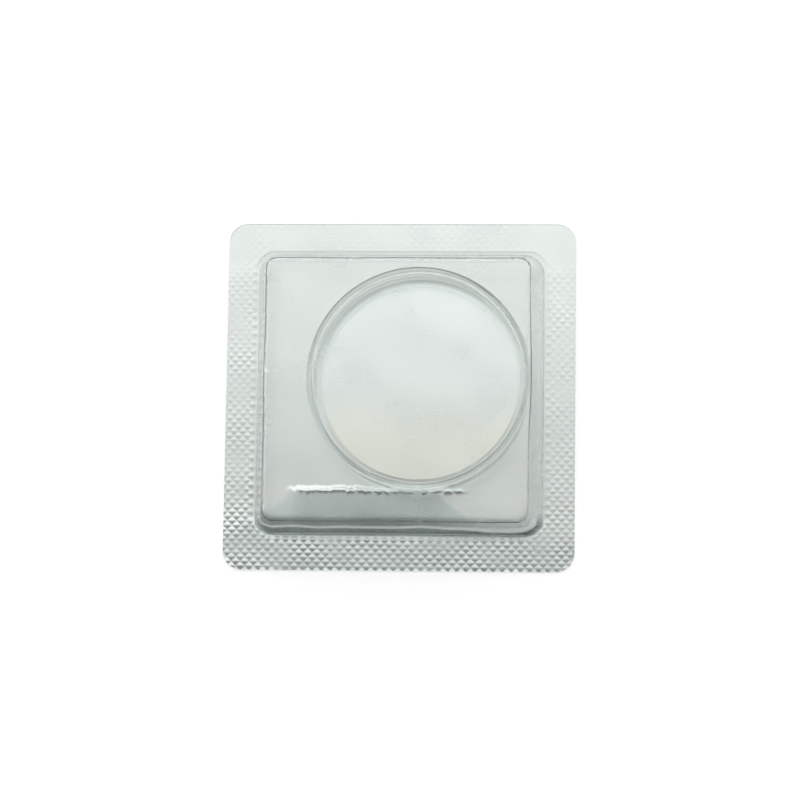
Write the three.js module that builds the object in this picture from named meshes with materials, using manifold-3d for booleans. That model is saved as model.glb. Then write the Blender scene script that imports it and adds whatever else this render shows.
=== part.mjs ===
// A 35 mm Petri dish, lid on, in its single sterile blister pack.
//
// Frame: millimetres, +Z up. The origin is the middle of the pack, on the underside of its
// foil, +X is to the right and +Y is towards the back edge, where the pack stays joined
// when it is peeled open.
//
// Four separate pieces, as they come apart on a bench:
//   lidding_foil   the flat aluminium foil that the pack lies on
//   blister_shell  the clear thermoformed film: a square cup with a sealing flange round it
//   dish_base      the bottom dish, which holds the culture
//   dish_lid       the top dish, which is a little wider and caps the base
//
// The dish sets the size of the cup, and the cup and its flange set the size of the pack.

import * as THREE from 'three';
import { mergeVertices } from 'three/addons/utils/BufferGeometryUtils.js';
import Module from 'manifold-3d';

const wasm = await Module();
wasm.setup();

// ---- driving dimensions ---------------------------------------------------------------

// dish lid
const lidDiameter = 35.0;
const lidWall = 0.8;
const lidPlate = 0.8;          // thickness of the lid's flat top
const lidSkirtDepth = 4.2;     // how far the skirt hangs below the plate
const lidEdgeRadius = 0.4;     // rounding of the lid's top edge
const ventLugCount = 3;
const ventLugHeight = 0.3;     // lugs hold the lid off the rim so that air gets in
const ventLugWidth = 2.4;      // along the rim

// dish base
const skirtClearance = 0.2;    // radial gap between the lid's skirt and the base's wall
const baseWall = 0.7;
const baseFloor = 0.8;
const baseHeight = 5.3;
const footHeight = 0.3;        // the floor stands on a ring, clear of the bench
const footWidth = 1.2;

// pack
const foilThickness = 0.1;
const sealGap = 0.05;          // lacquer line between foil and flange
const restGap = 0.05;          // between a piece and what it rests on
const filmThickness = 0.3;
const flangeThickness = 0.45;  // the flange is embossed, so it is thicker than the film
const flangeWidth = 5.0;
const packCornerRadius = 3.0;
const sidePlay = 3.25;         // between lid and cup wall on each side, with the dish centred
const headroom = 1.75;         // above the lid
const draftAngle = THREE.MathUtils.degToRad(13.5);
const cupFootCornerRadius = 3.0;
const cupCrownCornerRadius = 1.5;
const cupCrownFillet = 1.0;    // rounding between the cup's walls and its flat top

// where the dish lies in the cup: against the right wall, set back from the middle
const wallClearance = 0.1;
const dishSetBack = 2.1;

// facets
const roundFacets = 72;
const cornerFacets = 3;        // half the number of facets in each rounded corner
const filletFacets = 4;
const cutMargin = 1.0;         // how far a cutting solid runs past what it cuts

// ---- heights and sizes that follow ----------------------------------------------------

const lidRadius = lidDiameter / 2;
const lidInnerRadius = lidRadius - lidWall;
const baseRadius = lidInnerRadius - skirtClearance;
const baseInnerRadius = baseRadius - baseWall;

const flangeBottom = foilThickness + sealGap;
const flangeTop = flangeBottom + flangeThickness;
const dishBottom = foilThickness + restGap;
const rimHeight = dishBottom + baseHeight;
const lidUnderside = rimHeight + restGap + ventLugHeight;
const lidTop = lidUnderside + lidPlate;
const cupInnerTop = lidTop + headroom;
const cupTop = cupInnerTop + filmThickness;

const draftPerHeight = Math.tan(draftAngle);
const wallAcross = filmThickness / Math.cos(draftAngle);   // the film, measured level
const cupInnerHalfAtLid = lidRadius + sidePlay;
const cupInnerHalfAtFoot = cupInnerHalfAtLid + (lidTop - flangeTop) * draftPerHeight;
const cupHalfAtFoot = cupInnerHalfAtFoot + wallAcross;
const packHalf = cupHalfAtFoot + flangeWidth;

const dishX = sidePlay - wallClearance;
const dishY = dishSetBack;

// ---- shape helpers --------------------------------------------------------------------

// Square outline with rounded corners, centred on the origin.
function roundedSquare(half, radius) {
  const straight = half - radius;
  const outline = new THREE.Shape();
  outline.absarc(straight, straight, radius, 0, Math.PI / 2);
  outline.absarc(-straight, straight, radius, Math.PI / 2, Math.PI);
  outline.absarc(-straight, -straight, radius, Math.PI, 1.5 * Math.PI);
  outline.absarc(straight, -straight, radius, 1.5 * Math.PI, 2 * Math.PI);
  outline.closePath();
  return outline;
}

// Flat square plate with rounded corners, from height z0 to z1.
function plate(half, radius, z0, z1) {
  const settings = { depth: z1 - z0, bevelEnabled: false, curveSegments: cornerFacets };
  return new THREE.ExtrudeGeometry(roundedSquare(half, radius), settings).translate(0, 0, z0);
}

// Outline of one level of a loft, as points without the repeated closing point.
function levelOutline(level) {
  const points = roundedSquare(level.half, level.radius).getPoints(cornerFacets);
  const last = points[points.length - 1];
  return last.distanceTo(points[0]) < 1e-6 ? points.slice(0, -1) : points;
}

// Closed solid through rounded squares at rising heights: levels of { half, radius, z }.
function loftSquares(levels) {
  const positions = [];
  const triangles = [];
  const outlines = levels.map(levelOutline);
  const count = outlines[0].length;
  outlines.forEach((outline, i) => {
    outline.forEach((point) => positions.push(point.x, point.y, levels[i].z));
  });
  for (let i = 0; i + 1 < levels.length; i += 1) {
    for (let j = 0; j < count; j += 1) {
      const low = i * count + j;
      const lowNext = i * count + (j + 1) % count;
      triangles.push(low, lowNext, lowNext + count);
      triangles.push(low, lowNext + count, low + count);
    }
  }
  const foot = outlines.length * count;
  const crown = foot + 1;
  const crownStart = (outlines.length - 1) * count;
  positions.push(0, 0, levels[0].z);
  positions.push(0, 0, levels[levels.length - 1].z);
  for (let j = 0; j < count; j += 1) {
    const next = (j + 1) % count;
    triangles.push(foot, next, j);
    triangles.push(crown, crownStart + j, crownStart + next);
  }
  const geometry = new THREE.BufferGeometry();
  geometry.setAttribute('position', new THREE.Float32BufferAttribute(positions, 3));
  geometry.setIndex(triangles);
  return geometry;
}

// Solid of revolution about +Z from a profile of [radius, height] pairs.
function turned(profile) {
  const points = profile.map(([radius, height]) => new THREE.Vector2(radius, height));
  return new THREE.LatheGeometry(points, roundFacets).rotateX(Math.PI / 2);
}

function toManifold(geometry) {
  const bare = geometry.clone();
  bare.deleteAttribute('normal');
  bare.deleteAttribute('uv');
  const merged = mergeVertices(bare);
  return new wasm.Manifold(new wasm.Mesh({
    numProp: 3,
    vertProperties: new Float32Array(merged.attributes.position.array),
    triVerts: new Uint32Array(merged.index.array),
  }));
}

function toGeometry(manifold) {
  const mesh = manifold.getMesh();
  const geometry = new THREE.BufferGeometry();
  geometry.setAttribute('position', new THREE.Float32BufferAttribute(mesh.vertProperties, 3));
  geometry.setIndex(Array.from(mesh.triVerts));
  return geometry;
}

// ---- the pack -------------------------------------------------------------------------

function liddingFoil() {
  return plate(packHalf, packCornerRadius, 0, foilThickness);
}

// Drafted square cup with a rounded crown. All levels are set in by `inset`, so that the
// cup's outside and its hollow come from the same lines. It starts at height `foot`.
function cup(inset, top, foot) {
  const fillet = cupCrownFillet - inset;
  const shoulder = top - fillet;
  const halfAt = (z) => cupHalfAtFoot - inset / Math.cos(draftAngle)
    - (z - flangeTop) * draftPerHeight;
  const cornerAtFoot = cupFootCornerRadius - inset;
  const cornerAtCrown = cupCrownCornerRadius - inset;
  const levels = [
    { half: halfAt(foot), radius: cornerAtFoot, z: foot },
    { half: halfAt(flangeTop), radius: cornerAtFoot, z: flangeTop },
  ];
  for (let i = 0; i <= filletFacets; i += 1) {
    const angle = (i / filletFacets) * (Math.PI / 2);
    const setIn = fillet * (1 - Math.cos(angle));
    levels.push({
      half: halfAt(shoulder) - setIn,
      radius: cornerAtCrown - setIn,
      z: shoulder + fillet * Math.sin(angle),
    });
  }
  return loftSquares(levels);
}

function blisterShell() {
  const flange = toManifold(plate(packHalf, packCornerRadius, flangeBottom, flangeTop));
  const outside = toManifold(cup(0, cupTop, flangeBottom));
  const hollow = toManifold(cup(filmThickness, cupInnerTop, flangeBottom - cutMargin));
  return toGeometry(flange.add(outside).subtract(hollow));
}

// ---- the dish -------------------------------------------------------------------------

function dishBase() {
  return turned([
    [0, footHeight],
    [baseRadius - footWidth, footHeight],
    [baseRadius - footWidth, 0],
    [baseRadius, 0],
    [baseRadius, baseHeight],
    [baseInnerRadius, baseHeight],
    [baseInnerRadius, footHeight + baseFloor],
    [0, footHeight + baseFloor],
  ]);
}

function dishLid() {
  const profile = [
    [0, 0],
    [lidInnerRadius, 0],
    [lidInnerRadius, -lidSkirtDepth],
    [lidRadius, -lidSkirtDepth],
  ];
  for (let i = 0; i <= filletFacets; i += 1) {
    const angle = (i / filletFacets) * (Math.PI / 2);
    profile.push([
      lidRadius - lidEdgeRadius * (1 - Math.cos(angle)),
      lidPlate - lidEdgeRadius * (1 - Math.sin(angle)),
    ]);
  }
  profile.push([0, lidPlate]);

  // Each vent lug hangs from the plate over the base's rim, and is rooted in the plate.
  const rimMiddle = baseRadius - baseWall / 2;
  const lugRoot = lidPlate / 2;
  let lid = toManifold(turned(profile));
  for (let i = 0; i < ventLugCount; i += 1) {
    const lug = new THREE.BoxGeometry(baseWall, ventLugWidth, ventLugHeight + lugRoot);
    lug.translate(rimMiddle, 0, (lugRoot - ventLugHeight) / 2);
    lug.rotateZ((i / ventLugCount) * 2 * Math.PI);
    lid = lid.add(toManifold(lug));
  }
  return toGeometry(lid);
}

// ---- the assembly ---------------------------------------------------------------------

function clearPlastic(colour, opacity) {
  return new THREE.MeshStandardMaterial({
    color: colour,
    metalness: 0,
    roughness: 0.08,
    transparent: true,
    opacity,
  });
}

const foilMetal = new THREE.MeshStandardMaterial({
  color: 0xc9cfcd,
  metalness: 1,
  roughness: 0.35,
});

function piece(name, geometry, material) {
  const mesh = new THREE.Mesh(geometry, material);
  mesh.name = name;
  return mesh;
}

const dish = new THREE.Group();
dish.position.set(dishX, dishY, 0);

const base = piece('dish_base', dishBase(), clearPlastic(0xe6eeec, 0.35));
base.position.z = dishBottom;
dish.add(base);

const lid = piece('dish_lid', dishLid(), clearPlastic(0xe9f0ee, 0.3));
lid.position.z = lidUnderside;
dish.add(lid);

const pack = new THREE.Group();
pack.add(piece('lidding_foil', liddingFoil(), foilMetal));
pack.add(piece('blister_shell', blisterShell(), clearPlastic(0xdfe7e4, 0.25)));
pack.add(dish);

export default pack;
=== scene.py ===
# %% [markdown]
# # A 35 mm Petri dish in its sterile blister pack
# The object is four thin pieces: an aluminium lidding foil, a clear film that is thermoformed
# into a square cup with a knurled flange, and inside it the base and the lid of a low
# polystyrene dish. The CAD model fixes their sizes, places and joints. This lesson models the
# surface that the eye sees on each piece, and gives each piece its finish.

import math

import bpy
from mathutils import Matrix, Vector, noise


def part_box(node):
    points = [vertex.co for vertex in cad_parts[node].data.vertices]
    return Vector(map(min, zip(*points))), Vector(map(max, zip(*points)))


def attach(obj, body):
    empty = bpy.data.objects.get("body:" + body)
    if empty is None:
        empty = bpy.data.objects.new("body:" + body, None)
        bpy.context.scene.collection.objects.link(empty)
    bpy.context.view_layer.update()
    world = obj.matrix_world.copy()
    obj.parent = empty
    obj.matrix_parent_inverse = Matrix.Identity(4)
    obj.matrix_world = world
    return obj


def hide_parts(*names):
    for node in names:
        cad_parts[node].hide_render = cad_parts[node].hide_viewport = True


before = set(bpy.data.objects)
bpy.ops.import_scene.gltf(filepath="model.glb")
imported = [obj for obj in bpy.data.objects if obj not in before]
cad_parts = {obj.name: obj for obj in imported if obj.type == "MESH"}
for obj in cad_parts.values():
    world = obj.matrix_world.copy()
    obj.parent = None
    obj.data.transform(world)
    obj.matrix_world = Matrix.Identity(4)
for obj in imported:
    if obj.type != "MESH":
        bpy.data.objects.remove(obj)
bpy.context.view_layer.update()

# %% [markdown]
# Sizes are written in millimetres, as a maker would say them, and MM turns them into metres.
# What the frame knows is read from it: how wide the pack is, how high each piece reaches and
# where the dish stands. The other sizes belong to one piece each and come with that piece.

# %% Places from the frame
MM = 0.001

foil_low, foil_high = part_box("lidding_foil")
shell_low, shell_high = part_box("blister_shell")
base_low, base_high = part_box("dish_base")
lid_low, lid_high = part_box("dish_lid")

PACK_HALF = foil_high.x
BENCH = foil_low.z
CUP_TOP = shell_high.z
DISH_X = (lid_low.x + lid_high.x) / 2
DISH_Y = (lid_low.y + lid_high.y) / 2
LID_RADIUS = (lid_high.x - lid_low.x) / 2
BASE_RADIUS = (base_high.x - base_low.x) / 2
DISH_TRAVEL = 6.3 * MM
print(f"pack {2 * PACK_HALF / MM:.1f} mm wide and {CUP_TOP / MM:.2f} mm high")
print(f"dish centre at x {DISH_X / MM:.2f} mm, y {DISH_Y / MM:.2f} mm")

# %% [markdown]
# ## Hand tools
# An operator acts on whatever is selected, so every step first clears the selection. Then it
# picks faces or edges by where they are or which way they look, as a hand with a mouse would.

# %% Selecting by place


def clear_selection():
    """Leave edit mode, with nothing selected."""
    if bpy.context.object and bpy.context.object.mode != "OBJECT":
        bpy.ops.object.mode_set(mode="OBJECT")
    bpy.ops.object.select_all(action="DESELECT")


def hold(piece):
    """Make one piece the selected and active one."""
    clear_selection()
    piece.select_set(True)
    bpy.context.view_layer.objects.active = piece


def pick_all(piece):
    """Enter edit mode with the whole mesh selected."""
    hold(piece)
    bpy.ops.object.mode_set(mode="EDIT")
    bpy.ops.mesh.select_all(action="SELECT")


def pick(piece, kind, wanted):
    """Enter edit mode with the faces or edges selected that `wanted` accepts.

    A face is judged by its centre and normal, an edge by its two end points.
    """
    hold(piece)
    mesh = piece.data
    bpy.context.tool_settings.mesh_select_mode = (False, kind == "EDGE", kind == "FACE")
    for group in (mesh.vertices, mesh.edges, mesh.polygons):
        group.foreach_set("select", [False] * len(group))
    if kind == "FACE":
        chosen = [face for face in mesh.polygons if wanted(face.center, face.normal)]
    else:
        spots = [vertex.co for vertex in mesh.vertices]
        chosen = [edge for edge in mesh.edges if wanted(*(spots[i] for i in edge.vertices))]
    for item in chosen:
        item.select = True
    bpy.ops.object.mode_set(mode="EDIT")
    return len(chosen)


# %% [markdown]
# A few jobs come back for every piece: naming what was just added, applying a modifier,
# cutting with another solid, and the last clean-up, which merges doubled points, turns all
# faces outwards and shades the round stretches smoothly while sharp corners stay sharp.

# %% Jobs that repeat
DOUBLES = 0.0005 * MM


def named(name):
    """Name the object that was just added, and put its place into its mesh."""
    piece = bpy.context.object
    piece.name = name
    piece.data.name = name
    bpy.ops.object.transform_apply(location=True, rotation=True, scale=True)
    return piece


def apply_modifier(piece, kind, **settings):
    """Add a modifier with its settings and apply it."""
    hold(piece)
    modifier = piece.modifiers.new(kind.title(), kind)
    for key, value in settings.items():
        setattr(modifier, key, value)
    bpy.ops.object.modifier_apply(modifier=modifier.name)


def combine(piece, tool, operation):
    """Add, cut or intersect with another solid, which is used up."""
    apply_modifier(piece, "BOOLEAN", object=tool, operation=operation, solver="MANIFOLD")
    bpy.data.objects.remove(tool)


def face_outwards(piece):
    """Turn every face of a piece outwards."""
    pick_all(piece)
    bpy.ops.mesh.normals_make_consistent(inside=False)
    clear_selection()


def close_up(piece, sharp_degrees):
    """The last clean-up of a piece."""
    pick_all(piece)
    bpy.ops.mesh.remove_doubles(threshold=DOUBLES)
    face_outwards(piece)
    hold(piece)
    bpy.ops.object.shade_smooth_by_angle(angle=math.radians(sharp_degrees))
    apply_modifier(piece, "WEIGHTED_NORMAL", keep_sharp=True, weight=100)
    piece.data.calc_loop_triangles()
    print(f"{piece.name}: {len(piece.data.loop_triangles)} triangles")


# %% [markdown]
# ## The dish
# Both halves of the dish are injection moulded from clear polystyrene. Each could be spun
# from a profile. Here a cylinder is inset and pushed in instead, because that is how the
# mould itself is thought of: a disc with a well sunk into it. A clear moulding shows mostly
# at its radii, so each ring of edges is found by its radius and height and rounded by a
# bevel of its own.

# %% Round blanks and rings of edges
ROUND_SIDES = 160
RING_REACH = 0.02 * MM
DISH_SHARP = 40


def round_blank(name, radius, low, high):
    """A disc round the dish's centre, from one height to another."""
    clear_selection()
    bpy.ops.mesh.primitive_cylinder_add(
        vertices=ROUND_SIDES,
        radius=radius,
        depth=high - low,
        location=(DISH_X, DISH_Y, (low + high) / 2),
    )
    return named(name)


def from_centre(p):
    """Distance of a point from the dish's axis."""
    return math.hypot(p.x - DISH_X, p.y - DISH_Y)


def sink(piece, up, wall, depth):
    """Inset the top (up = 1) or bottom (up = -1) face by `wall` and push it in."""
    pick(piece, "FACE", lambda centre, normal: normal.z * up > 0.9)
    bpy.ops.mesh.inset(thickness=wall)
    bpy.ops.mesh.extrude_region_move(TRANSFORM_OT_translate={"value": (0, 0, -up * depth)})


def round_ring(piece, radius, height, size, segments):
    """Round the ring of edges of one radius at one height."""

    def on_ring(a, b):
        return all(
            abs(p.z - height) < RING_REACH and abs(from_centre(p) - radius) < RING_REACH
            for p in (a, b)
        )

    found = pick(piece, "EDGE", on_ring)
    bpy.ops.mesh.bevel(offset=size, segments=segments, affect="EDGES")
    print(f"{piece.name}: {found} edges rounded at radius {radius / MM:.1f} mm")


# %% [markdown]
# The base is the deeper half. It stands on a low foot ring, so that the floor, which a
# microscope looks through, never touches the bench.

# %% Dish base
BASE_WALL = 0.7 * MM
BASE_FLOOR = 0.8 * MM
FOOT_HEIGHT = 0.3 * MM
FOOT_WIDTH = 1.2 * MM

well_floor = base_low.z + FOOT_HEIGHT + BASE_FLOOR
well_radius = BASE_RADIUS - BASE_WALL

base = round_blank("dish_base_clear", BASE_RADIUS, base_low.z, base_high.z)
sink(base, 1, BASE_WALL, base_high.z - well_floor)
sink(base, -1, FOOT_WIDTH, FOOT_HEIGHT)
for radius, height, size, segments in (
    (BASE_RADIUS, base_high.z, 0.12 * MM, 3),  # the rim, outside
    (well_radius, base_high.z, 0.18 * MM, 3),  # the rim, inside
    (well_radius, well_floor, 0.35 * MM, 4),  # the corner of the well
    (BASE_RADIUS, base_low.z, 0.35 * MM, 4),  # the foot ring, outside
    (BASE_RADIUS - FOOT_WIDTH, base_low.z, 0.1 * MM, 2),  # the foot ring, inside
):
    round_ring(base, radius, height, size, segments)
close_up(base, DISH_SHARP)

# %% [markdown]
# The lid is a wider, shallower cap. Its plate meets the skirt in a soft moulded radius.

# %% Dish lid
LID_WALL = 0.8 * MM
LID_PLATE = 0.8 * MM

plate_under = lid_high.z - LID_PLATE
skirt_inside = LID_RADIUS - LID_WALL

lid = round_blank("dish_lid_clear", LID_RADIUS, lid_low.z, lid_high.z)
sink(lid, -1, LID_WALL, plate_under - lid_low.z)
for radius, height, size, segments in (
    (LID_RADIUS, lid_high.z, 0.5 * MM, 5),  # the shoulder, outside
    (skirt_inside, plate_under, 0.35 * MM, 4),  # the shoulder, inside
    (LID_RADIUS, lid_low.z, 0.15 * MM, 3),  # the lip of the skirt, outside
    (skirt_inside, lid_low.z, 0.15 * MM, 3),  # the lip of the skirt, inside
):
    round_ring(lid, radius, height, size, segments)

# %% [markdown]
# Three small lugs under the plate keep the lid off the base's rim, so that air can pass. Each
# is a block with rounded lower edges, set on the rim's circle and joined to the plate by a
# Boolean union, so that lid and lugs are one moulding.

# %% Vent lugs
LUG_COUNT = 3
LUG_WIDTH = 2.4 * MM
LUG_HEIGHT = 0.3 * MM
LUG_ROOT = 0.2 * MM
LUG_EDGE = 0.08 * MM

for i in range(LUG_COUNT):
    turn = 2 * math.pi * i / LUG_COUNT
    reach = BASE_RADIUS - BASE_WALL / 2
    middle = plate_under + (LUG_ROOT - LUG_HEIGHT) / 2
    clear_selection()
    bpy.ops.mesh.primitive_cube_add(
        size=1,
        location=(DISH_X + reach * math.cos(turn), DISH_Y + reach * math.sin(turn), middle),
        rotation=(0, 0, turn),
        scale=(BASE_WALL, LUG_WIDTH, LUG_HEIGHT + LUG_ROOT),
    )
    lug = named(f"vent_lug_{i}")
    pick(lug, "EDGE", lambda a, b: max(a.z, b.z) < plate_under)
    bpy.ops.mesh.bevel(offset=LUG_EDGE, segments=2, affect="EDGES")
    clear_selection()
    combine(lid, lug, "UNION")
close_up(lid, DISH_SHARP)

# %% [markdown]
# ## The blister film
# A sheet of clear film is heated and drawn over a square plug. What is left is a cup with
# drafted walls that roll over into a crown above and into the flange below. It could be cut
# from a solid, but it is a sheet, so it is modelled as one: two rounded squares at different
# heights are bridged, the edges are rolled over by bevels, and thickness comes last.

# %% Rounded squares
CORNER_STEPS = 8
BLOCK_LOW = -1 * MM
BLOCK_HEIGHT = 3 * MM


def rounded_square(name, half, corner, height):
    """A flat face with four rounded corners."""
    clear_selection()
    bpy.ops.mesh.primitive_plane_add(size=2 * half, location=(0, 0, height))
    square = named(name)
    pick_all(square)
    bpy.ops.mesh.bevel(offset=corner, segments=CORNER_STEPS, affect="VERTICES")
    clear_selection()
    return square


def out_from(p, half, corner):
    """How far a point lies outside a rounded square, seen from above."""
    x = abs(p.x) - (half - corner)
    y = abs(p.y) - (half - corner)
    return math.hypot(max(x, 0), max(y, 0)) + min(max(x, y), 0) - corner


def block(name, half, corner):
    """A rounded square block through the whole height of the flange, as a cutting tool."""
    tool = rounded_square(name, half, corner, BLOCK_LOW)
    pick_all(tool)
    bpy.ops.mesh.extrude_region_move(TRANSFORM_OT_translate={"value": (0, 0, BLOCK_HEIGHT)})
    face_outwards(tool)
    return tool


# %% [markdown]
# The cup has a foot line, where it meets the flange, and a smaller crown line above, because
# walls need draft to leave the mould. The film shrinks as it cools and does not copy the
# mould exactly: in front and on the right the crown is a little slack, and the front wall
# stands a little further in at its foot. Both lines are later found again by their place.

# %% Sizes of the cup
FILM = 0.3 * MM
FLANGE_TOP = 0.40 * MM
FLANGE_WIDTH = 5.0 * MM
DRAFT_INSET = 1.93 * MM
CUP_FOOT_HALF = PACK_HALF - FLANGE_WIDTH
CUP_FOOT_CORNER = 3.0 * MM
CUP_CROWN_HALF = CUP_FOOT_HALF - DRAFT_INSET
CUP_CROWN_CORNER = 1.5 * MM
CROWN_SLACK = 0.45 * MM
FOOT_SLACK = 0.6 * MM
COLLAR_GROWTH = 1.027
CROWN_FILLET = 1.3 * MM
FOOT_FILLET = 0.5 * MM
WAVE_ROOM = 0.06 * MM
CROWN_HEIGHT = CUP_TOP - WAVE_ROOM
CROWN_REACH = 0.1 * MM
FOOT_REACH = 0.05 * MM


def on_crown_line(a, b):
    return min(a.z, b.z) > CROWN_HEIGHT - CROWN_REACH


def on_foot_line(a, b):
    reach = max(abs(out_from(p, CUP_FOOT_HALF, CUP_FOOT_CORNER)) for p in (a, b))
    return reach < FOOT_REACH and max(a.z, b.z) < FLANGE_TOP + FOOT_REACH


# %% [markdown]
# Two flat rounded squares are placed at the heights of the two lines. Their faces are then
# dropped, so that only the outlines stay, and both are joined into one object.

# %% Outlines of the crown and of the foot
crown = rounded_square("crown", CUP_CROWN_HALF, CUP_CROWN_CORNER, CROWN_HEIGHT)
for vertex in crown.data.vertices:
    if vertex.co.y < 0:
        vertex.co.y += CROWN_SLACK
    if vertex.co.x > 0:
        vertex.co.x -= CROWN_SLACK

cup = rounded_square("blister_film", CUP_FOOT_HALF, CUP_FOOT_CORNER, FLANGE_TOP)
for outline in (crown, cup):
    pick_all(outline)
    bpy.ops.mesh.delete(type="ONLY_FACE")
clear_selection()
crown.select_set(True)
cup.select_set(True)
bpy.context.view_layer.objects.active = cup
bpy.ops.object.join()
print(f"cup foot {2 * CUP_FOOT_HALF / MM:.1f} mm wide, crown {2 * CUP_CROWN_HALF / MM:.1f} mm")

# %% [markdown]
# A bridge makes the walls, and one face closes the crown. The foot line is extruded and
# scaled up a little, which gives a narrow collar for the flange to join. A bevel rolls the
# walls over into crown and collar.

# %% Cup sheet
pick_all(cup)
bpy.ops.mesh.bridge_edge_loops()
pick(cup, "EDGE", on_crown_line)
bpy.ops.mesh.edge_face_add()
pick(cup, "EDGE", on_foot_line)
bpy.ops.mesh.extrude_edges_move()
bpy.ops.transform.resize(value=(COLLAR_GROWTH, COLLAR_GROWTH, 1), center_override=(0, 0, 0))
pick(cup, "EDGE", on_crown_line)
bpy.ops.mesh.bevel(offset=CROWN_FILLET, segments=6, affect="EDGES")
found = pick(cup, "EDGE", on_foot_line)
bpy.ops.mesh.bevel(offset=FOOT_FILLET, segments=5, affect="EDGES")
face_outwards(cup)
print(f"cup sheet: {len(cup.data.vertices)} points, {found} foot edges rolled over")

# %% [markdown]
# Formed film is never quite flat, and its waves are what makes it look thin. A subdivision
# would round the edges away, so the sheet is cut by three families of parallel planes
# instead. They leave its shape alone and only give it points to move.

# %% Cuts across the film
WAVE_STEP = 2.2 * MM
SLIVER = 0.04 * MM
CUT_SHIFT = 0.2 * MM

cuts = int(PACK_HALF / WAVE_STEP)
for axis in (0, 1, 2):
    across = Vector((0, 0, 0))
    across[axis] = 1
    for i in range(-cuts, cuts + 1):
        place = Vector((0, 0, FLANGE_TOP + CUT_SHIFT)) + across * (i * WAVE_STEP)
        pick_all(cup)
        bpy.ops.mesh.bisect(plane_co=place, plane_no=across)
pick_all(cup)
bpy.ops.mesh.remove_doubles(threshold=SLIVER)
face_outwards(cup)
if max(cup.data.polygons, key=lambda face: face.center.z).normal.z < 0:
    pick_all(cup)
    bpy.ops.mesh.flip_normals()
    clear_selection()
print(f"cup sheet: {len(cup.data.vertices)} points to move")

# %% [markdown]
# Each point then moves along its normal by a smooth noise: a little on the crown, more on the
# long walls, and not at all at the collar, which the sealing tool holds. The front wall leans
# in towards its foot. Where the right wall would press into the dish, it bulges past it. The
# bulge fades out along the wall by a soft step, which has no corner at either end.

# %% Waves in the film
WAVE_LENGTH = 11.0 * MM
CROWN_WAVE = 0.05 * MM
WALL_WAVE = 0.12 * MM
FREE_GAIN = 2.5
LEAN_FROM = 20.5
DISH_BULGE = 0.28 * MM
BULGE_REACH = 12 * MM


def smooth(t):
    """A soft step from 0 to 1."""
    t = min(1.0, max(0.0, t))
    return t * t * (3 - 2 * t)


for vertex in cup.data.vertices:
    rise = (vertex.co.z - FLANGE_TOP) / (CROWN_HEIGHT - FLANGE_TOP)
    free = min(1.0, max(0.0, rise * FREE_GAIN))
    level = abs(vertex.normal.z)
    size = (CROWN_WAVE * level + WALL_WAVE * (1 - level)) * free
    vertex.co += vertex.normal * (size * noise.noise(vertex.co / WAVE_LENGTH))
    if vertex.co.y < 0:
        lean = min(1.0, max(0.0, -vertex.co.y / MM - LEAN_FROM)) * min(1.0, 1 - rise)
        vertex.co.y += FOOT_SLACK * lean
    if vertex.co.x > CUP_CROWN_HALF - CROWN_FILLET:
        beside = smooth(1 - abs(vertex.co.y - DISH_Y) / BULGE_REACH)
        below = min(1.0, (CROWN_HEIGHT - vertex.co.z) / CROWN_FILLET)
        vertex.co.x += DISH_BULGE * beside * max(0.0, below) * free

apply_modifier(cup, "SOLIDIFY", thickness=FILM, offset=-1, use_quality_normals=True)
print(f"film cup: {len(cup.data.polygons)} faces, {FILM / MM:.1f} mm thick")

# %% [markdown]
# ## The knurl
# The sealing tool presses a diamond knurl into film and foil together. It could be a bump
# map, but it is deep enough to show at the pack's edge, so it is real here. A grid is turned
# by 45 degrees, with one cell for each diamond. Poking a face raises its centre to a pyramid,
# and one level of subdivision and a touch of smoothing round it to the bump that film takes.

# %% Knurled sheet
KNURL_PITCH = 1.0 * MM
KNURL_POKE = 0.4 * MM
KNURL_EDGE = 0.3 * MM


def in_flange(p, margin):
    """True outside the cup's foot by more than `margin`."""
    slack = FOOT_SLACK if p.y < 0 else 0.0
    shifted = Vector((p.x, p.y - slack, 0))
    return out_from(shifted, CUP_FOOT_HALF, CUP_FOOT_CORNER) > margin


def on_pack(p):
    return max(abs(p.x), abs(p.y)) < PACK_HALF + KNURL_PITCH


def knurled_sheet(name, with_window):
    """Open sheet whose knurl runs from height 0 to 1, with or without the middle."""
    cells = math.ceil(math.sqrt(2) * PACK_HALF / KNURL_PITCH) * 2 + 2
    clear_selection()
    bpy.ops.mesh.primitive_grid_add(
        x_subdivisions=cells,
        y_subdivisions=cells,
        size=cells * KNURL_PITCH,
        rotation=(0, 0, math.radians(45)),
    )
    sheet = named(name)
    inner_limit = -math.inf if with_window else KNURL_EDGE - KNURL_PITCH
    pick(sheet, "FACE", lambda c, n: not on_pack(c) or not in_flange(c, inner_limit))
    bpy.ops.mesh.delete(type="FACE")
    poked = pick(sheet, "FACE", lambda c, n: in_flange(c, KNURL_EDGE))
    bpy.ops.mesh.poke(offset=KNURL_POKE)
    apply_modifier(sheet, "SUBSURF", levels=1, render_levels=1)
    pick_all(sheet)
    bpy.ops.mesh.vertices_smooth(factor=0.5, repeat=1)
    clear_selection()
    heights = [vertex.co.z for vertex in sheet.data.vertices]
    low, high = min(heights), max(heights)
    for vertex in sheet.data.vertices:
        vertex.co.z = (vertex.co.z - low) / (high - low)
    print(f"{name}: {poked} diamonds")
    return sheet


# %% [markdown]
# The tool does not press evenly. The knurl is faint along the back edge, deeper towards the
# front, deepest at the front left corner, and patchy all over.

# %% How deep the tool presses
KNURL_BACK = 0.035 * MM
KNURL_FRONT = 0.055 * MM
KNURL_CORNER = 0.13 * MM
CORNER_REACH = 8.5 * MM
RIGHT_SHARE = 0.4
FRONT_FROM = 0.35
FAINT_FROM = 19 * MM
FAINT_FADE = 3 * MM
FAINT = 0.7
WORN_FROM = 18 * MM
WORN_FADE = 4 * MM
WORN = 0.3
PATCH = 0.5
PATCH_SIZE = 4 * MM


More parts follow.
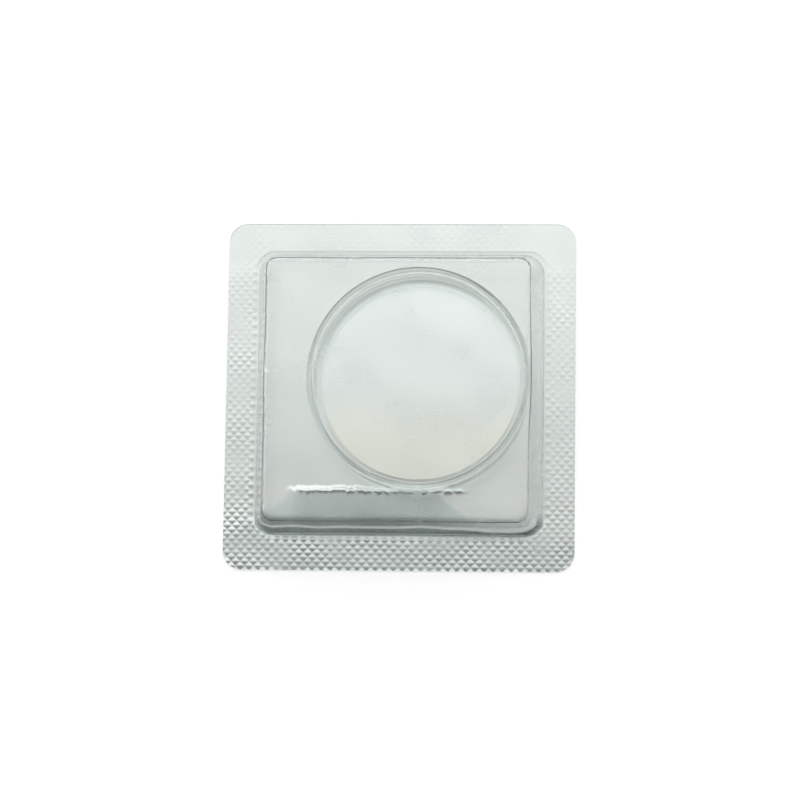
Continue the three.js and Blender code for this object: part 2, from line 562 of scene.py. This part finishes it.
def press_depth(p):
    """Height of the knurl at a place on the flange."""
    ahead = min(1.0, max(0.0, (FRONT_FROM - p.y / PACK_HALF) / (1 + FRONT_FROM)))
    left = math.exp(-math.hypot(p.x + PACK_HALF, p.y + PACK_HALF) / CORNER_REACH)
    right = math.exp(-math.hypot(p.x - PACK_HALF, p.y + PACK_HALF) / CORNER_REACH)
    behind = smooth((p.y - FAINT_FROM) / FAINT_FADE)
    worn_side = 1 - WORN * smooth((p.x - WORN_FROM) / WORN_FADE)
    patchy = 1 + PATCH * noise.noise(p / PATCH_SIZE)
    steady = KNURL_BACK * (1 - FAINT * behind) + KNURL_FRONT * ahead**3
    return patchy * worn_side * (steady + KNURL_CORNER * (left + RIGHT_SHARE * right))


def thicken_down(sheet, thickness):
    """Turn an open sheet into a solid one, straight down, so that sheets can nest."""
    pick_all(sheet)
    bpy.ops.mesh.extrude_region_move(TRANSFORM_OT_translate={"value": (0, 0, -thickness)})
    face_outwards(sheet)


# %% [markdown]
# The film's flange is the same sheet as the cup, but the knurl needs far finer points than
# the walls. So the flange is made from a knurled sheet of its own, lifted by the tool's
# depth. It is cut to the pack's outline, opened for the cup, and joined to the collar by a
# union, which leaves one closed piece.

# %% Film flange
PACK_CORNER = 3.0 * MM
FOIL_SHEET = 0.06 * MM
SEAL_LINE = 0.02 * MM
PRESSED_FILM = 0.17 * MM
SHEET_SHARP = 50
CUP_OPENING = 0.42 * MM

flange = knurled_sheet("flange", with_window=False)
for vertex in flange.data.vertices:
    raised = vertex.co.z * press_depth(vertex.co)
    vertex.co.z = BENCH + FOIL_SHEET + SEAL_LINE + PRESSED_FILM + raised
thicken_down(flange, PRESSED_FILM)
combine(flange, block("outline", PACK_HALF, PACK_CORNER), "INTERSECT")
opening = block("opening", CUP_FOOT_HALF + CUP_OPENING, CUP_FOOT_CORNER + CUP_OPENING)
for vertex in opening.data.vertices:
    if vertex.co.y < 0:
        vertex.co.y += FOOT_SLACK
combine(flange, opening, "DIFFERENCE")
combine(cup, flange, "UNION")
close_up(cup, SHEET_SHARP)

# %% [markdown]
# ## The lidding foil
# The foil carries the same knurl round its edge. Inside the cup it is smooth but not flat:
# sealing pulls it into shallow waves. Near the front it has a sharp crease with a row of tiny
# crimps, and from there a facet falls away towards the seal and mirrors a darker part of the
# room. The crease stays low under the dish, which slides over it.

# %% Shape of the crease
CREASE_Y = -14.9 * MM
CREASE_FROM = -15.9 * MM
CREASE_TO = 4.9 * MM
CREASE_END = 11.1 * MM
CREASE_HEIGHT = 0.155 * MM
CREASE_BACK = 0.7 * MM
CREASE_FRONT = CREASE_Y + CUP_FOOT_HALF
CRIMP_HEIGHT = 0.11 * MM
CRIMP_HALF = 0.36 * MM
CRIMP_LEAST = 0.1
DISH_ROOM = 0.6 * MM
LOW_UNDER_DISH = 0.25

# How much, how long and which seed, for the wandering of the line and for its crimps.
JAGS = ((0.45 * MM, 0.7 * MM, 3.0), (0.25 * MM, 2.6 * MM, 9.0))
CRIMPS = ((1.3, 0.9 * MM, 7.0), (0.8, 0.4 * MM, 5.0))


def rippled(start, p, ripples):
    """A value that varies along X only, by some smooth noises on top of each other."""
    for amount, length, seed in ripples:
        start += amount * noise.noise(Vector((p.x / length, seed, 0.0)))
    return start


def crease(p):
    """Height of the crease over a point of the foil's window."""
    ahead = CREASE_Y + rippled(0.0, p, JAGS) - p.y
    left = smooth((p.x - CREASE_FROM) / (4.0 * MM) + 0.6)
    right = smooth((CREASE_TO - p.x) / (6.0 * MM) + 0.8)
    if ahead > 0:
        fold = max(0.0, 1 - ahead / CREASE_FRONT)
    else:
        fold = 1 - smooth(-ahead / CREASE_BACK)
    crimp = max(CRIMP_LEAST, rippled(0.55, p, CRIMPS))
    pinch = crimp * max(0.0, 1 - abs(ahead) / CRIMP_HALF)
    ends = smooth((p.x - CREASE_FROM) / (1 * MM)) * smooth((CREASE_END - p.x) / (2 * MM))
    nearest_x = min(DISH_X, max(DISH_X - DISH_TRAVEL, p.x))
    clear_of_dish = math.hypot(p.x - nearest_x, p.y - DISH_Y) - BASE_RADIUS
    room = LOW_UNDER_DISH + (1 - LOW_UNDER_DISH) * smooth(clear_of_dish / DISH_ROOM)
    return (CREASE_HEIGHT * fold * left * right + CRIMP_HEIGHT * pinch * ends) * room


# %% [markdown]
# The sheet's cells are too coarse for the crimps, so the faces along the crease are
# subdivided before the points are lifted.

# %% Foil sheet
FINE_LEFT = CREASE_FROM - 2 * MM
FINE_RIGHT = CREASE_END + 1.4 * MM
FINE_HALF = 1.2 * MM


def beside_crease(centre, normal):
    inside = FINE_LEFT < centre.x < FINE_RIGHT
    return inside and abs(centre.y - CREASE_Y) < FINE_HALF


foil = knurled_sheet("knurled_foil", with_window=True)
fine = pick(foil, "FACE", beside_crease)
bpy.ops.mesh.subdivide(number_cuts=2)
clear_selection()
print(f"foil: {fine} faces cut finer along the crease")

# %% [markdown]
# Every point of the sheet is now lifted: in the flange by the knurl, as deep as the tool
# pressed there, and in the window by the waves and the crease. Only then is the sheet given
# its thickness, straight down, so that film and foil nest in each other in the seal.

# %% Foil with its crease
FOIL_WAVE = 0.05 * MM
FOIL_WAVE_LENGTH = 9 * MM
FOIL_CALM = 3 * MM

for vertex in foil.data.vertices:
    p = vertex.co
    if in_flange(p, KNURL_EDGE):
        lift = p.z * press_depth(p)
    else:
        calm = smooth((CUP_FOOT_HALF - max(abs(p.x), abs(p.y))) / FOIL_CALM)
        wave = 0.5 + 0.5 * noise.noise(p / FOIL_WAVE_LENGTH)
        lift = FOIL_WAVE * wave * calm + crease(p)
    p.z = BENCH + FOIL_SHEET + lift
thicken_down(foil, FOIL_SHEET)
combine(foil, block("outline", PACK_HALF, PACK_CORNER), "INTERSECT")
close_up(foil, SHEET_SHARP)

# %% [markdown]
# ## Finishes
# Each finish is a small network of shader nodes. Placing nodes one by one hides the idea, so
# a Wire wraps a socket and takes arithmetic: a roughness then reads as its own formula. A
# Wiring builds the network of one material, or of the room's light, with one method for any
# node and a few short ones for the nodes that come back.

# %% Wires


class Wire:
    """The output of a node, which can be added, multiplied and so on."""

    def __init__(self, wiring, socket):
        self.wiring = wiring
        self.socket = socket

    def _math(self, operation, a, b):
        return self.wiring.node("ShaderNodeMath", {"operation": operation}, {0: a, 1: b})

    def __add__(self, other):
        return self._math("ADD", self, other)

    def __radd__(self, other):
        return self._math("ADD", other, self)

    def __sub__(self, other):
        return self._math("SUBTRACT", self, other)

    def __rsub__(self, other):
        return self._math("SUBTRACT", other, self)

    def __mul__(self, other):
        return self._math("MULTIPLY", self, other)

    def __rmul__(self, other):
        return self._math("MULTIPLY", other, self)

    def __abs__(self):
        return self.wiring.node("ShaderNodeMath", {"operation": "ABSOLUTE"}, {0: self})

    def at_least(self, other):
        return self._math("MAXIMUM", self, other)


# %% Wiring


class Wiring:
    """The node network of a material or of the room."""

    def __init__(self, owner):
        self.owner = owner
        owner.use_nodes = True
        self.tree = owner.node_tree
        self.tree.nodes.clear()

    def node(self, kind, settings=None, sockets=None, output=0):
        """Add a node: its settings first, then a value or a Wire for each named socket."""
        node = self.tree.nodes.new(kind)
        for key, value in (settings or {}).items():
            setattr(node, key, value)
        for key, value in (sockets or {}).items():
            if isinstance(value, Wire):
                self.tree.links.new(value.socket, node.inputs[key])
            else:
                node.inputs[key].default_value = value
        if not node.outputs:
            return None
        return Wire(self, node.outputs[output])

    def spot(self, axis, source="Object"):
        """One coordinate of the place, or of the normal, in the piece's own space."""
        place = self.node("ShaderNodeTexCoord", output=source)
        return self.node("ShaderNodeSeparateXYZ", {}, {0: place}, output=axis)

    def grain(self, size, detail=2.0):
        """Noise from 0 to 1 whose grains have the given size along X, Y and Z."""
        place = self.node("ShaderNodeTexCoord", output="Object")
        sockets = {"Vector": place, "Scale": size}
        place = self.node("ShaderNodeMapping", {"vector_type": "TEXTURE"}, sockets)
        sockets = {"Vector": place, "Scale": 1.0, "Detail": detail}
        return self.node("ShaderNodeTexNoise", {}, sockets)

    def ramp(self, value, start, stop, first, last, steps="LINEAR"):
        """`first` below `start`, `last` above `stop`, and an even change between."""
        sockets = {0: value, 1: start, 2: stop, 3: first, 4: last}
        return self.node("ShaderNodeMapRange", {"interpolation_type": steps}, sockets)

    def blend(self, factor, a, b):
        """Mix two colours."""
        sockets = {0: factor, 6: a, 7: b}
        return self.node("ShaderNodeMix", {"data_type": "RGBA"}, sockets, output=2)

    def layer(self, factor, a, b):
        """Mix two shaders."""
        return self.node("ShaderNodeMixShader", {}, {0: factor, 1: a, 2: b})

    def grazing(self):
        """0 where the surface is seen straight on, 1 where it is seen edge on."""
        return self.node("ShaderNodeLayerWeight", {}, {"Blend": 0.5}, output="Facing")

    def clear(self, tint):
        """Light passes straight through."""
        return self.node("ShaderNodeBsdfTransparent", {}, {"Color": tint})

    def gloss(self, roughness):
        """A clear mirror-like sheen."""
        sockets = {"Color": (0.95, 0.96, 0.96, 1), "Roughness": roughness}
        return self.node("ShaderNodeBsdfAnisotropic", {}, sockets)

    def principled(self, **sockets):
        sockets = {key.replace("_", " "): value for key, value in sockets.items()}
        return self.node("ShaderNodeBsdfPrincipled", {}, sockets)

    def put_on(self, piece, shader):
        """End the network, and give the material to a piece."""
        self.node("ShaderNodeOutputMaterial", {}, {"Surface": shader})
        piece.data.materials.clear()
        piece.data.materials.append(self.owner)
        print(f"{self.owner.name}: {len(self.tree.nodes)} nodes on {piece.name}")


def new_finish(name):
    return Wiring(bpy.data.materials.new(name))


# %% [markdown]
# **Rolled aluminium.** Foil is bright but not a mirror. Fine rolling lines run along the web,
# here along X, and the surface has soft patches where it was handled. Scratches could be
# modelled, but they are far finer than the mesh, so noise that is stretched along X gives
# them as roughness and bump. The colour is a very pale green grey, because the film over the
# foil takes a little of the red.

# %% Foil: rolling lines and patches
ROLLING_GRAIN = (14 * MM, 0.16 * MM, 1 * MM)
HANDLED_GRAIN = (9 * MM, 9 * MM, 9 * MM)
FOIL_DARKER = (0.80, 0.835, 0.81, 1)
FOIL_LIGHTER = (0.84, 0.87, 0.85, 1)

finish = new_finish("rolled_aluminium")
rolling = finish.grain(ROLLING_GRAIN, 4.0)
patches = finish.grain(HANDLED_GRAIN)
x = finish.spot("X")
y = finish.spot("Y")
metal = finish.blend(patches, FOIL_DARKER, FOIL_LIGHTER)

# %% [markdown]
# Under the dish the foil lies flat and looks brighter, with a warmer cast in its front half.
# Both are painted light here: the foil's colour is made brighter under the dish, and warmer
# in front. The cast comes from the plastic above, but it is far simpler to give it to the
# foil, by the distance from the dish's axis.

# %% Foil: painted light under the dish
EDGE_FROM = BASE_RADIUS - 1.2 * MM
EDGE_TO = BASE_RADIUS - 0.4 * MM
WARM_FROM = -9 * MM
WARM_TO = 0 * MM
WARM_WANDER = 8 * MM
UNDER_DISH_LIGHT_COOL = (0.925, 0.965, 0.95, 1)
UNDER_DISH_LIGHT_WARM = (0.95, 0.965, 0.885, 1)

to_dish_x = x - DISH_X
to_dish_y = y - DISH_Y
square = to_dish_x * to_dish_x + to_dish_y * to_dish_y
under_dish_light = finish.ramp(square, EDGE_FROM**2, EDGE_TO**2, 1.0, 0.0)
uneven_y = to_dish_y + (patches - 0.5) * WARM_WANDER
warm_light = finish.ramp(uneven_y, WARM_FROM, WARM_TO, 1.0, 0.0)
# Painted light: the foil's colour is brighter under the dish, and warmer in front.
painted_light_under_dish = finish.blend(warm_light, UNDER_DISH_LIGHT_COOL, UNDER_DISH_LIGHT_WARM)
metal = finish.blend(under_dish_light, metal, painted_light_under_dish)

# %% [markdown]
# The facet in front of the crease is given painted shade: its colour is a shade darker than
# its slope alone makes it, for the darker part of the room that it mirrors. The front flange
# is given painted shade too, darker towards the front edge. The facet widens towards the
# front, so its sides are ramps over X shifted by how far ahead of the crease a place lies.

# %% Foil: painted shade on the facet
FACET_SPREAD = 1.4
FACET_WANDER = 1.2 * MM
FACET_PAINTED_SHADE = (0.50, 0.62, 0.60, 1)
FACET_SHADE_DEPTH = 0.42

ahead = CREASE_Y - y
ragged_x = x + (patches - 0.5) * FACET_WANDER
from_left = ragged_x + FACET_SPREAD * ahead
to_right = ragged_x - FACET_SPREAD * ahead
facet_shade_mask = finish.ramp(from_left, CREASE_FROM - 1.2 * MM, CREASE_FROM + 1.2 * MM, 0.0, 1.0)
facet_shade_mask = facet_shade_mask * finish.ramp(to_right, CREASE_TO - 0.5 * MM, CREASE_TO + 0.4 * MM, 1.0, 0.0)
facet_shade_mask = facet_shade_mask * finish.ramp(ahead, -0.3 * MM, 0.3 * MM, 0.0, 1.0)
facet_end = FOOT_SLACK - CUP_FOOT_HALF
facet_shade_mask = facet_shade_mask * finish.ramp(y, facet_end - 0.2 * MM, facet_end + 0.5 * MM, 0.0, 1.0)
# Painted shade: the facet's colour is darkened.
metal = finish.blend(facet_shade_mask * FACET_SHADE_DEPTH, metal, FACET_PAINTED_SHADE)

# %% Foil: painted shade on the front flange
FRONT_SHADE_FROM = -24 * MM
FRONT_SHADE_TO = -21 * MM
FRONT_PAINTED_SHADE = (0.52, 0.56, 0.55, 1)
FRONT_SHADE_DEPTH = 0.32

# Painted shade: the foil's colour darkens towards the front edge.
front_shade_mask = finish.ramp(y, FRONT_SHADE_FROM, FRONT_SHADE_TO, FRONT_SHADE_DEPTH, 0.0)
metal = finish.blend(front_shade_mask, metal, FRONT_PAINTED_SHADE)

# %% Foil: the metal itself
ROLLING_DEPTH = 0.02 * MM
ROLLING_STRENGTH = 0.08

relief = finish.node("ShaderNodeBump", {}, {
    "Height": rolling,
    "Strength": ROLLING_STRENGTH,
    "Distance": ROLLING_DEPTH,
})
finish.put_on(foil, finish.principled(
    Base_Color=metal,
    Metallic=1.0,
    Roughness=finish.ramp(patches, 0.3, 0.7, 0.20, 0.28) + 0.03 * rolling,
    Normal=relief,
))

# %% [markdown]
# ** Clear polystyrene.** The plates of the dish bend what lies behind them. One glass shader
# could serve the whole dish, but in an upright wall seen from above the light would run round
# for ever. So the plates are glass-like, and the walls let light pass straight through with a
# sheen, and are a little darker edge on. A faint haze keeps the plastic from looking like
# window glass. The skirt of the lid is painted a little greyer than its plate: painted shade
# for the darkening seen through the upright skirt end on.

# %% Dish finish
HAZE_GRAIN = (6 * MM, 6 * MM, 6 * MM)
SKIRT_FROM = skirt_inside - 0.15 * MM
SKIRT_TO = skirt_inside + 0.10 * MM
CLEAR_TINT = (0.997, 0.999, 0.998, 1)
FACE_ON_TINT = (0.98, 0.985, 0.983, 1)
FAINT_SHEEN = (0.12, 0.12, 0.12, 1)


def clear_polystyrene(name, bend, wall_tint, skirt_shade):
    """Finish of one half of the dish; the skirt's painted shade holds outside the lid's inner
    wall.
    """
    finish = new_finish(name)
    x = finish.spot("X") - DISH_X
    y = finish.spot("Y") - DISH_Y
    skirt = finish.ramp(x * x + y * y, SKIRT_FROM**2, SKIRT_TO**2, 0.0, 1.0)
    haze = finish.grain(HAZE_GRAIN, 3.0)
    plate = finish.principled(
        Base_Color=finish.blend(skirt, CLEAR_TINT, skirt_shade),
        Roughness=finish.ramp(haze, 0.35, 0.7, 0.01, 0.025),
        IOR=bend,
        Specular_Tint=FAINT_SHEEN,
        Transmission_Weight=1.0,
    )
    grazing = finish.grazing()
    through = finish.layer(grazing, finish.clear(FACE_ON_TINT), finish.clear(wall_tint))
    wall = finish.layer(0.03 + 0.12 * grazing, through, finish.gloss(0.05))
    upright = finish.ramp(abs(finish.spot("Z", "Normal")), 0.35, 0.6, 1.0, 0.0)
    return finish, finish.layer(upright, plate, wall)


# %% Dish: base and lid
BASE_WALL_TINT = (0.990, 1.0, 0.998, 1)
LID_WALL_TINT = (0.94, 0.952, 0.948, 1)
# The lid's skirt colour is painted shade: a greyer band where the skirt is seen end on.
SKIRT_PAINTED_SHADE = (0.87, 0.895, 0.885, 1)

finish, shader = clear_polystyrene("polystyrene_base", 1.06, BASE_WALL_TINT, CLEAR_TINT)
finish.put_on(base, shader)
finish, shader = clear_polystyrene("polystyrene_lid", 1.20, LID_WALL_TINT, SKIRT_PAINTED_SHADE)
finish.put_on(lid, shader)

# %% [markdown]
# **Formed film.** The crown is thin, flat and very clear: light passes straight through, with
# a faint sheen that grows towards grazing views. The walls and the knurled flange are drawn
# and pressed, and bend what lies behind them, so they are glass-like. Two materials would
# show a seam where they meet, so one network holds both finishes, and mixes them by how
# upright the surface is and by its height over the bench.

# %% Film: the clear crown
CROWN_FACE_ON = (0.985, 0.99, 0.987, 1)
CROWN_EDGE_ON = (0.78, 0.81, 0.80, 1)

finish = new_finish("formed_film")
grazing = finish.grazing()
grazing = grazing * grazing * grazing
through = finish.layer(grazing, finish.clear(CROWN_FACE_ON), finish.clear(CROWN_EDGE_ON))
crown_film = finish.layer(0.02 + 0.3 * grazing, through, finish.gloss(0.08))
height = finish.spot("Z")
in_seal = finish.ramp(height, 0.45 * MM, 0.6 * MM, 1.0, 0.0)
upright = finish.ramp(abs(finish.spot("Z", "Normal")), 0.6, 0.9, 1.0, 0.0)

# %% [markdown]
# The front wall is drawn deepest. Three long bands of painted light and shade run along it and
# sway a little: painted dark shade at the foot, for the bend that swallows the light, a
# painted highlight above it, a pale milky layer, and painted grey shade under the crown. The
# foot band gets thinner but darker to the right. All three are bands of height, swayed by a
# noise that varies along X only.

# %% Film: painted shade and highlight bands of the front wall
SWAY_GRAIN = (10 * MM, 400 * MM, 400 * MM)
SWAY = 4.0 * MM
FOOT_BAND_DROP = 1.3 * MM

front = finish.ramp(finish.spot("Y"), -21.6 * MM, -18.0 * MM, 1.0, 0.0) * (1 - in_seal)
sway = finish.grain(SWAY_GRAIN, 1.0) - 0.5
swayed = height + sway * SWAY
right_hand = finish.ramp(finish.spot("X"), 4 * MM, 18 * MM, 0.0, 1.0)
lowered = swayed + FOOT_BAND_DROP * right_hand
foot_band = finish.ramp(lowered, 3.3 * MM, 4.3 * MM, 1.0, 0.0)
crown_band = finish.ramp(swayed, 4.6 * MM, 5.4 * MM, 0.0, 1.0)
# Painted light: a highlight band between a painted dark foot band and a painted grey crown
# band.
painted_highlight_band = front * upright * (1 - foot_band) * (1 - crown_band)
painted_foot_shade = foot_band * (0.68 + 0.26 * right_hand)
painted_crown_shade = crown_band * (0.75 - 0.40 * right_hand)
painted_shade = front * (painted_foot_shade + painted_crown_shade)

# %% Film: walls, flange and the whole
WALL_TINT = (0.975, 0.985, 0.98, 1)
PAINTED_SHADE_TINT = (0.10, 0.13, 0.125, 1)
WALL_SHEEN = (0.7, 0.7, 0.7, 1)
PAINTED_HIGHLIGHT_TINT = (0.9, 0.93, 0.92, 1)
PAINTED_HIGHLIGHT_COVER = 0.62

# The wall's colour carries the painted shade of the foot and crown bands.
wall_film = finish.principled(
    Base_Color=finish.blend(painted_shade, WALL_TINT, PAINTED_SHADE_TINT),
    Roughness=0.03,
    IOR=1.16,
    Specular_Tint=WALL_SHEEN,
    Transmission_Weight=1.0,
)
drawn = (upright * (0.85 + 0.15 * front)).at_least(in_seal)
film = finish.layer(drawn, crown_film, wall_film)
# A white diffuse layer paints the highlight band on the front wall.
painted_highlight = finish.node("ShaderNodeBsdfDiffuse", {}, {"Color": PAINTED_HIGHLIGHT_TINT})
finish.put_on(cup, finish.layer(PAINTED_HIGHLIGHT_COVER * painted_highlight_band, film, painted_highlight))

# %% [markdown]
# ## Each piece rides on its body
# The film turns about the back edge, the dish slides in the cup, and the lid lifts off. Each
# piece stands for the CAD node that it hides, and is listed with the name of its material
# slot.

# %% Bodies
for piece, body, node, slot in (
    (foil, "foil", "lidding_foil", "foil"),
    (cup, "shell", "blister_shell", "film"),
    (base, "base", "dish_base", "polystyrene_base"),
    (lid, "lid", "dish_lid", "polystyrene_lid"),
):
    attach(piece, body)
    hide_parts(node)
    print(f"{piece.name} rides on {body}, stands for {node} and wears {slot}")

# %% [markdown]
# ## The stage
# The pack lies on a light table: a pale floor that glows a little, so that hardly any shadow
# shows.

# %% Floor
WHITE = (1, 1, 1, 1)
TABLE_DARKER = (0.93, 0.93, 0.93, 1)
TABLE_LIGHTER = (0.95, 0.95, 0.95, 1)
TABLE_SIZE = 4
TABLE_GAP = 0.02 * MM

clear_selection()
bpy.ops.mesh.primitive_plane_add(size=TABLE_SIZE, location=(0, 0, BENCH - TABLE_GAP))
floor = named("floor")
finish = new_finish("light_table")
speckle = finish.grain((0.4, 0.4, 0.4))
finish.put_on(floor, finish.principled(
    Base_Color=finish.blend(speckle, TABLE_DARKER, TABLE_LIGHTER),
    Roughness=0.9,
    Emission_Color=WHITE,
    Emission_Strength=0.40,
))

# %% [markdown]
# The light is a soft room, brightest overhead and behind. Metal shows what it mirrors, so the
# room also needs something dark, or the foil would be blank. The dark part stands in front,
# where someone who bends over the pack would be. It fades out just behind the zenith, which
# is what flat foil mirrors, so the pack gets gently darker towards its front edge. A few area
# lights would leave hard spots on foil, so the room itself gives all the light.

# %% Room
DARK_SIDE = 0.20
BRIGHT_SIDE = 1.36

world = bpy.data.worlds.new("soft_room")
bpy.context.scene.world = world
room = Wiring(world)
toward_back = room.spot("Y", "Generated")
toward_top = room.spot("Z", "Generated")
behind = room.ramp(toward_back, -0.03, 0.25, 0.0, 1.0, "SMOOTHSTEP")
low_down = room.ramp(toward_top, 0.15, 0.6, 1.0, 0.0, "SMOOTHSTEP")
glow = room.ramp(behind.at_least(low_down), 0.0, 1.0, DARK_SIDE, BRIGHT_SIDE)
overhead = room.ramp(toward_top, 0.15, 0.92, 0.70, 1.0)
light = room.node("ShaderNodeBackground", {}, {"Color": WHITE, "Strength": glow * overhead})
room.node("ShaderNodeOutputWorld", {}, {"Surface": light})
bpy.context.scene.view_settings.view_transform = "Standard"
print(f"soft_room: {len(room.tree.nodes)} nodes, from {DARK_SIDE} to {BRIGHT_SIDE}")

# %% [markdown]
# ## The camera
# It looks almost straight down, from a little in front of the pack and to its right, through
# a long lens, so that the flange keeps nearly parallel edges.

# %% Camera
CAMERA_DISTANCE = 450 * MM
CAMERA_TILT = math.radians(8.65)
CAMERA_SWING = math.radians(25.6)
CAMERA_ROLL = math.radians(0.81)
CAMERA_LENS = 128.8
SENSOR_WIDTH = 36
AIM = (-0.04 * MM, -0.56 * MM, 0)

aim = Vector(AIM)
back = Vector((
    math.sin(CAMERA_TILT) * math.sin(CAMERA_SWING),
    -math.sin(CAMERA_TILT) * math.cos(CAMERA_SWING),
    math.cos(CAMERA_TILT),
))
up = (Vector((0, 1, 0)) - back * back.y).normalized()
up.rotate(Matrix.Rotation(CAMERA_ROLL, 3, back))
turned = Matrix((up.cross(back), up, back)).transposed()

lens = bpy.data.cameras.new("bench_camera")
lens.lens = CAMERA_LENS
lens.sensor_width = SENSOR_WIDTH
camera = bpy.data.objects.new("bench_camera", lens)
bpy.context.scene.collection.objects.link(camera)
camera.matrix_world = Matrix.Translation(aim + back * CAMERA_DISTANCE) @ turned.to_4x4()
bpy.context.scene.camera = camera
print("camera at", [round(value / MM, 1) for value in camera.location], "mm")

# %% [markdown]
# Last, the selection is cleared.

clear_selection()
